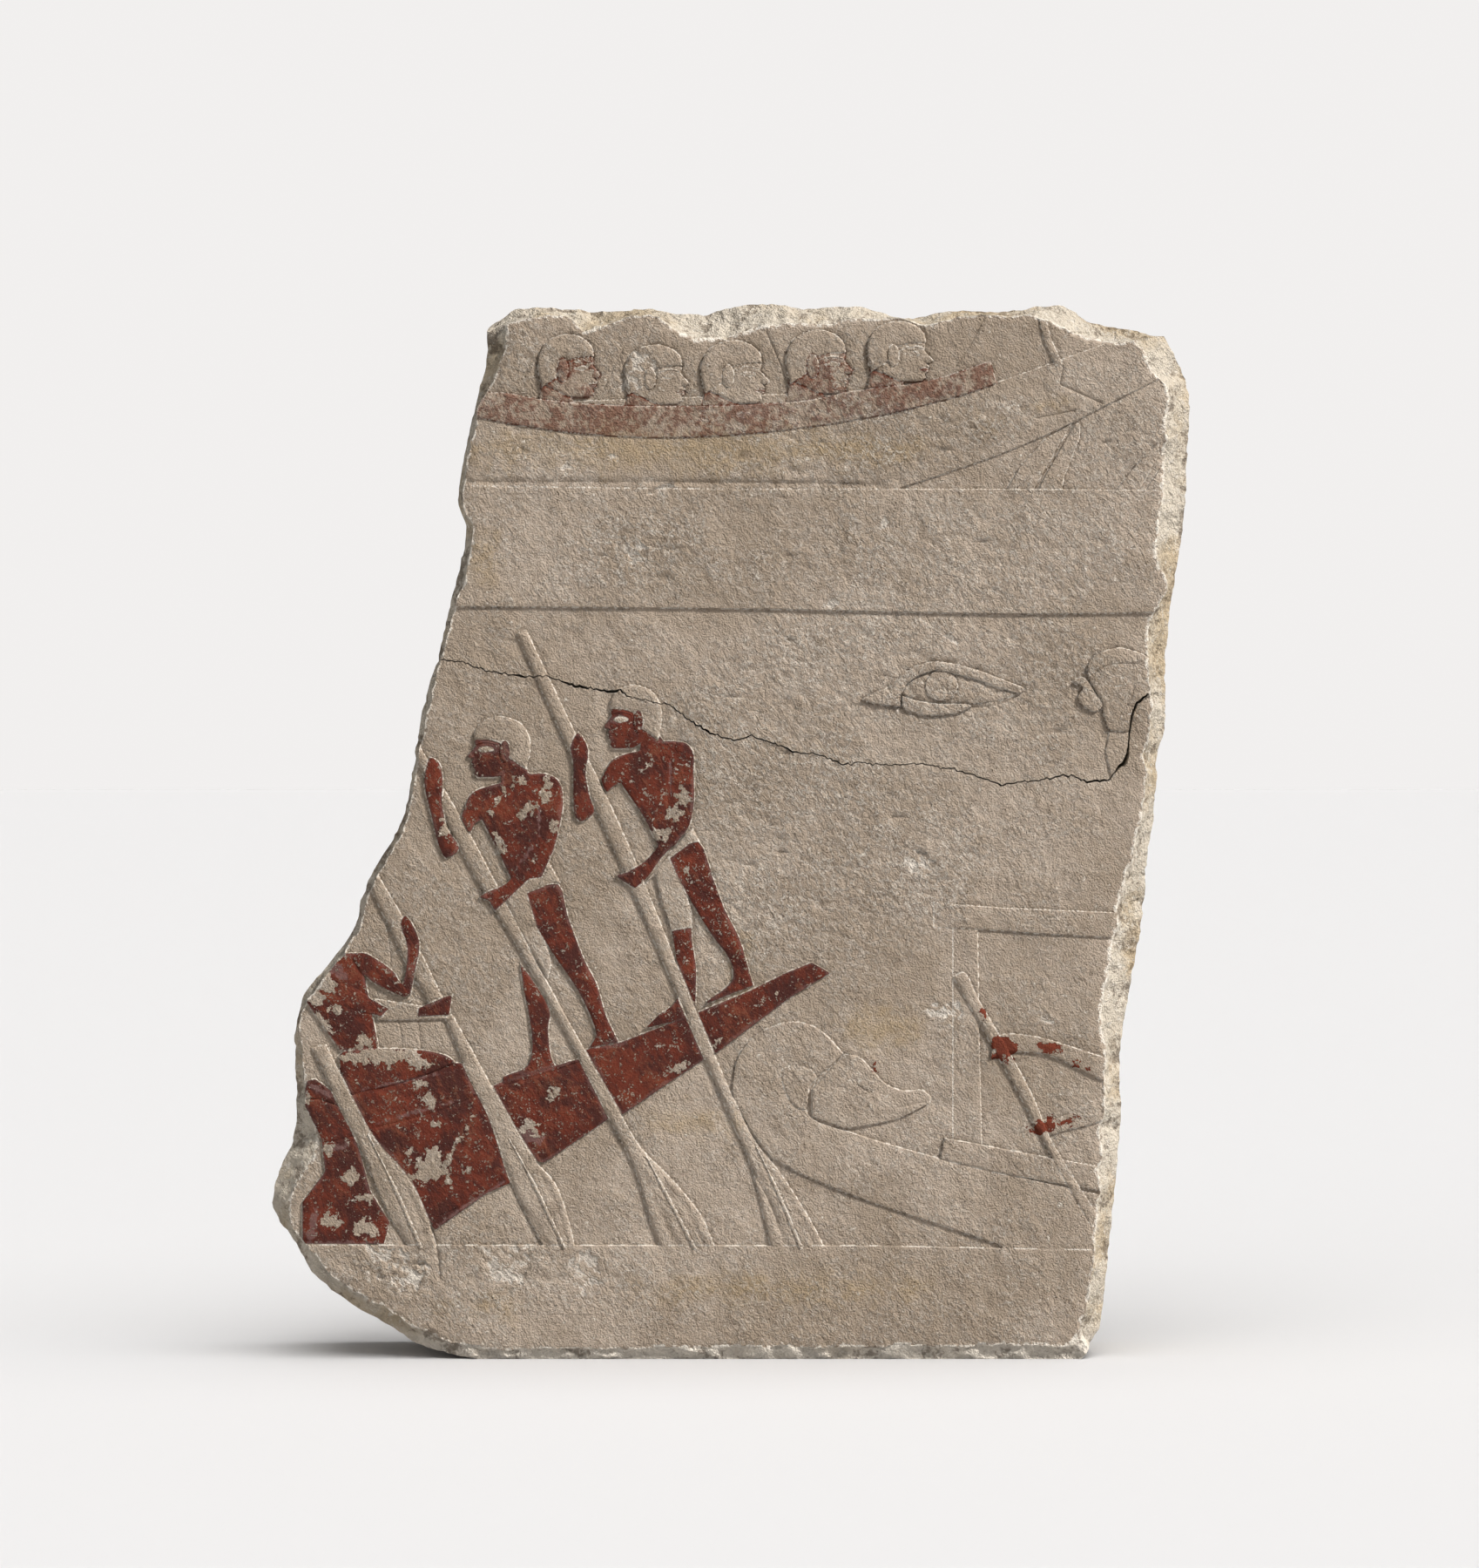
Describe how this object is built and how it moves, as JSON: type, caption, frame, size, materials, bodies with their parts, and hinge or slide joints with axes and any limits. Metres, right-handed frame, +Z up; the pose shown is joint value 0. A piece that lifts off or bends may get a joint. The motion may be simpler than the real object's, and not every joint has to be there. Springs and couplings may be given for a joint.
{
  "type": "carved relief panel",
  "caption": "Broken limestone wall block carved in low relief with a river scene of boats and oarsmen, with traces of red paint.",
  "frame": {"origin": "middle of the bounding box at the underside the block stands on", "axes": "+Z up, along the block's height; -Y out of the carved face; +X to the right as seen by someone facing the carving; +Y towards the sawn back"},
  "size_m": [0.6879, 0.13, 0.79],
  "materials": {
    "limestone": "chiselled, weathered and pitted, with worn red-ochre paint"
  },
  "bodies": {
    "root": {"relief_slab": "limestone"}
  },
  "joints": []
}
